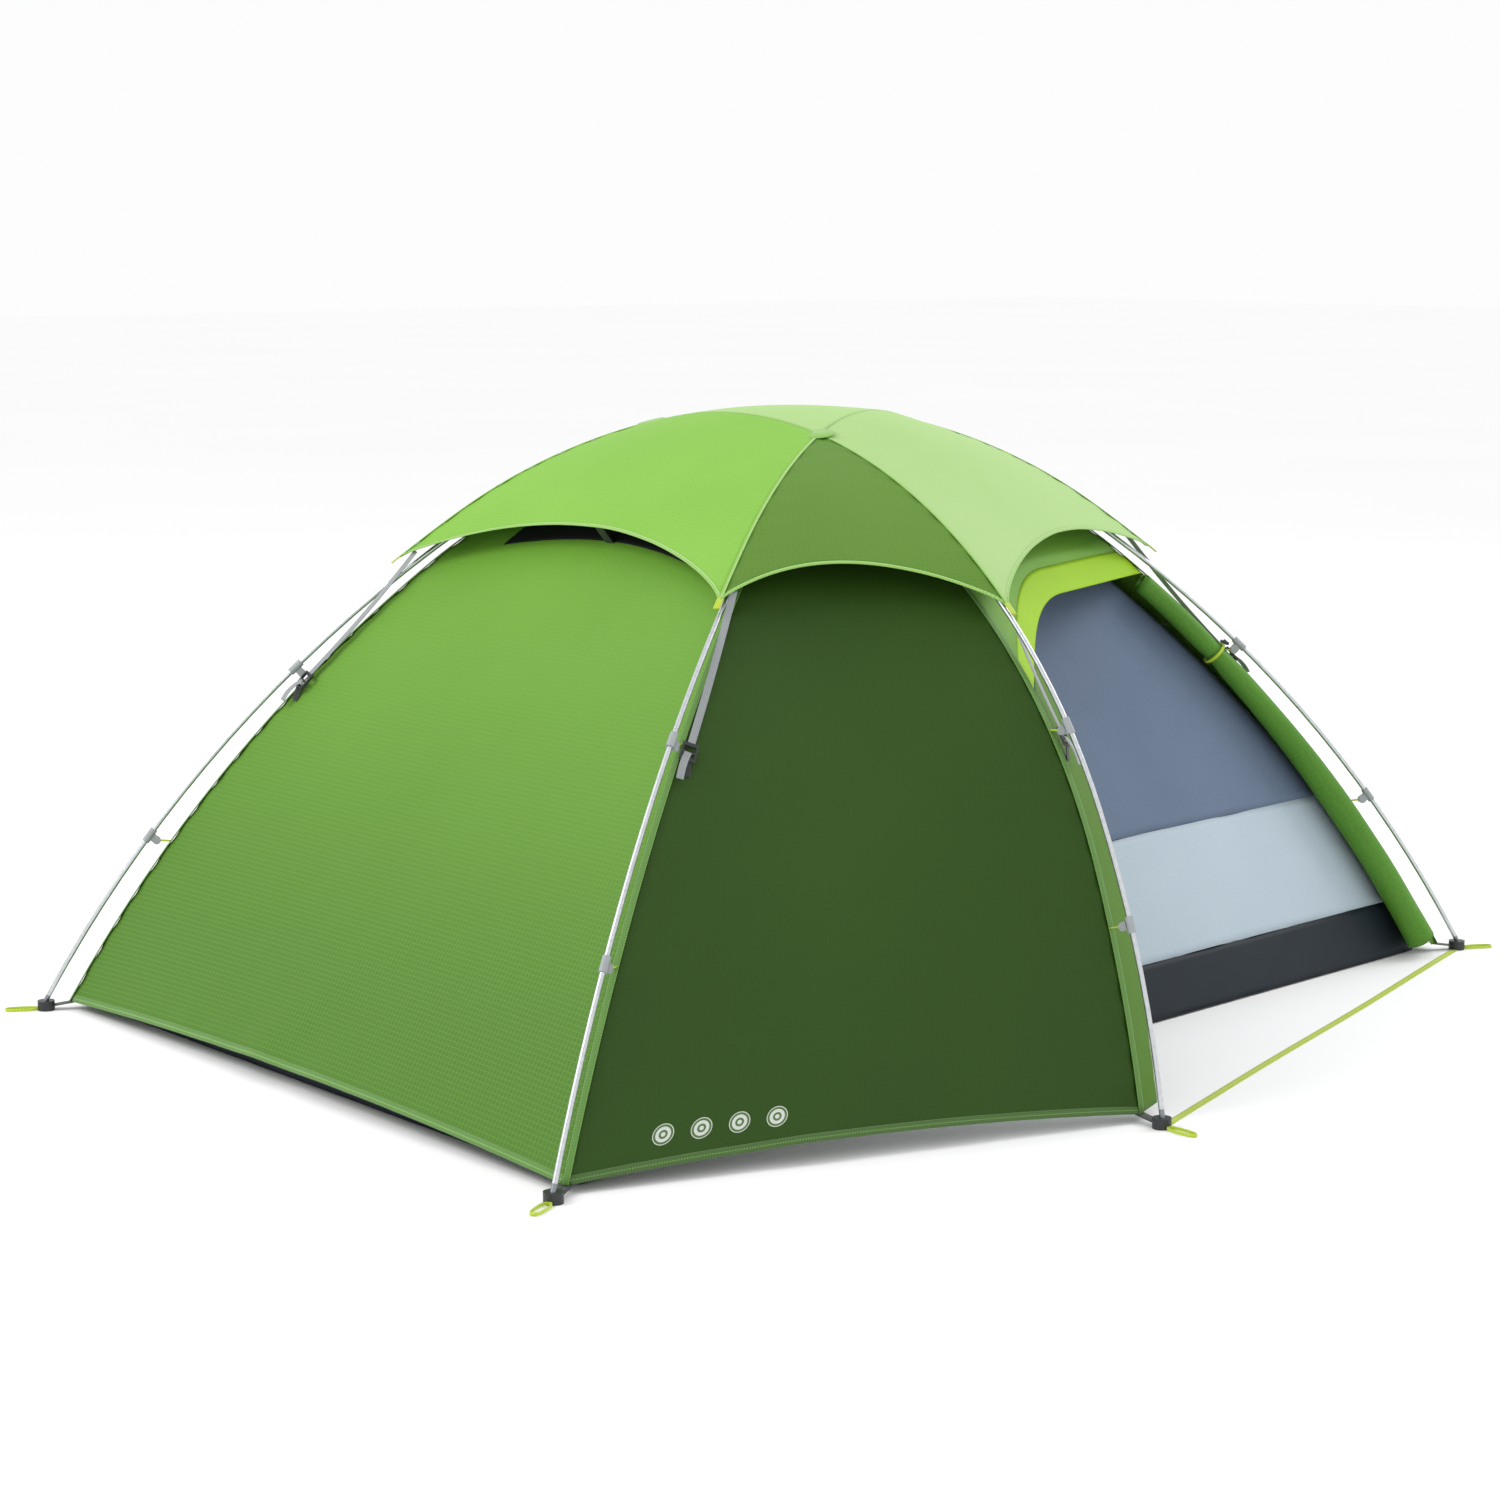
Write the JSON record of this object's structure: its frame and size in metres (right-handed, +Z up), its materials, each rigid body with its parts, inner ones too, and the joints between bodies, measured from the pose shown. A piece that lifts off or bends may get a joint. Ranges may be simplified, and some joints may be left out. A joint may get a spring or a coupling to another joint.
{
  "type": "dome tent on poles",
  "caption": "Dome tent on crossing poles outside a green fly, with a roof cap, a rolled-back front door and a hanging inner tent.",
  "frame": {"origin": "on the ground under the middle of the tent's plan", "axes": "+Z up; -Y towards the open front door; +X from the head end to the foot end"},
  "size_m": [2.4548, 2.2242, 1.0564],
  "materials": {
    "fly_light_green": "coated nylon, satin",
    "fly_dark_green": "coated nylon, satin",
    "lime_band": "coated nylon, satin",
    "cap_green": "coated nylon, satin",
    "rolled_door": "coated nylon, satin",
    "pole_alloy": "anodised",
    "ferrule_alloy": "turned",
    "tip_alloy": "turned",
    "elastic_cord": "braided",
    "grey_plastic": "moulded",
    "black_plastic": "moulded",
    "black_webbing": "woven",
    "grey_webbing": "woven",
    "lime_webbing": "woven",
    "zip_tape": "woven with nylon coil",
    "zip_metal": "die cast",
    "tub_fabric": "coated nylon",
    "inner_fabric": "plain nylon",
    "inner_mesh": "fine mesh"
  },
  "bodies": {
    "tent": {"buckle_anchors": "black_webbing", "cap_crown_panel": "cap_green", "cap_door_panel": "cap_green", "cap_foot_panel": "cap_green", "cap_front_panel": "cap_green", "cap_head_panel": "cap_green", "cap_rear_door_panel": "cap_green", "cap_rear_panel": "cap_green", "cap_straps": "grey_webbing", "clip_cords": "elastic_cord", "corner_straps": "black_webbing", "crossing_saddles": "grey_plastic", "door_arch_band": "lime_band", "door_roll": "rolled_door", "door_roll_strip": "fly_light_green", "door_side_strip": "fly_light_green", "door_tie_loop": "elastic_cord", "door_top_panel": "fly_light_green", "fly_crown_panel": "fly_light_green", "fly_foot_panel": "fly_light_green", "fly_front_panel": "fly_dark_green", "fly_head_panel": "fly_light_green", "fly_rear_panel": "fly_dark_green", "ground_straps": "lime_webbing", "inner_floor": "tub_fabric", "inner_hangers": "elastic_cord", "inner_light_bands": "inner_fabric", "inner_mesh_foot": "inner_mesh", "inner_mesh_front": "inner_mesh", "inner_mesh_head": "inner_mesh", "inner_mesh_rear": "inner_mesh", "inner_peak_hanger": "inner_fabric", "inner_tub_walls": "tub_fabric", "peg_loops": "black_webbing", "pole_clips": "grey_plastic", "pole_ferrules": "ferrule_alloy", "pole_foot_cups": "black_plastic", "pole_head_front": "pole_alloy", "pole_head_rear": "pole_alloy", "pole_middle": "pole_alloy", "pole_tips": "tip_alloy", "rear_door_band": "lime_band", "rear_door_leaf": "fly_light_green", "rear_door_strips": "fly_light_green", "rear_door_top_panel": "fly_light_green", "rear_door_zip": "zip_tape", "shock_cords": "elastic_cord"},
    "buckle_head_rear": {"ladder_lock_head_rear": "black_plastic"},
    "buckle_head_front": {"ladder_lock_head_front": "black_plastic"},
    "buckle_mid_front": {"ladder_lock_mid_front": "black_plastic"},
    "buckle_foot_front": {"ladder_lock_foot_front": "black_plastic"},
    "buckle_foot_rear": {"ladder_lock_foot_rear": "black_plastic"},
    "buckle_mid_rear": {"ladder_lock_mid_rear": "black_plastic"},
    "prop_head": {"vent_prop_head": "black_plastic"},
    "prop_foot": {"vent_prop_foot": "black_plastic"},
    "toggle": {"door_toggle": "black_plastic"},
    "slider": {"rear_zip_slider": "zip_metal"},
    "pull": {"rear_zip_pull": "zip_metal"}
  },
  "joints": [
    {"name": "buckle_tilt_head_rear", "type": "hinge", "parent": "tent", "child": "buckle_head_rear", "pos_m": [-0.76819, 0.51817, 0.56806], "axis": [-0.161, -0.9516, -0.2617], "range_deg": [0, 20]},
    {"name": "buckle_tilt_head_front", "type": "hinge", "parent": "tent", "child": "buckle_head_front", "pos_m": [-0.74737, -0.54915, 0.56829], "axis": [0.7664, -0.5434, -0.3426], "range_deg": [0, 20]},
    {"name": "buckle_tilt_mid_front", "type": "hinge", "parent": "tent", "child": "buckle_mid_front", "pos_m": [-0.18511, -0.80124, 0.56583], "axis": [0.9068, 0.3678, -0.2062], "range_deg": [0, 20]},
    {"name": "buckle_tilt_foot_front", "type": "hinge", "parent": "tent", "child": "buckle_foot_front", "pos_m": [0.76766, -0.28776, 0.56739], "axis": [0.13, 0.9502, -0.2831], "range_deg": [0, 20]},
    {"name": "buckle_tilt_foot_rear", "type": "hinge", "parent": "tent", "child": "buckle_foot_rear", "pos_m": [0.74835, 0.32014, 0.56862], "axis": [-0.7494, 0.588, -0.3045], "range_deg": [0, 20]},
    {"name": "buckle_tilt_mid_rear", "type": "hinge", "parent": "tent", "child": "buckle_mid_rear", "pos_m": [-0.22535, 0.80129, 0.56507], "axis": [-0.9051, -0.3699, -0.2095], "range_deg": [0, 20]},
    {"name": "vent_prop_fold_head", "type": "hinge", "parent": "tent", "child": "prop_head", "pos_m": [-0.47403, 0, 0.84305], "axis": [0, -1, 0], "range_deg": [0, 70]},
    {"name": "vent_prop_fold_foot", "type": "hinge", "parent": "tent", "child": "prop_foot", "pos_m": [0.48067, 0, 0.82636], "axis": [0, 1, 0], "range_deg": [0, 70]},
    {"name": "toggle_turn", "type": "hinge", "parent": "tent", "child": "toggle", "pos_m": [0.7036, -0.32384, 0.609], "axis": [0.6169, -0.3416, 0.709], "range_deg": [0, 90]},
    {"name": "rear_zip_slide", "type": "slide", "parent": "tent", "child": "slider", "axis": [0.0432, -0.3009, 0.9527], "range_m": [0, 0.0731]},
    {"name": "rear_zip_pull_swing", "type": "hinge", "parent": "slider", "child": "pull", "pos_m": [-0.1357, 0.94645, 0.15309], "axis": [0.9962, -0.0593, -0.0639], "range_deg": [0, 110]}
  ]
}
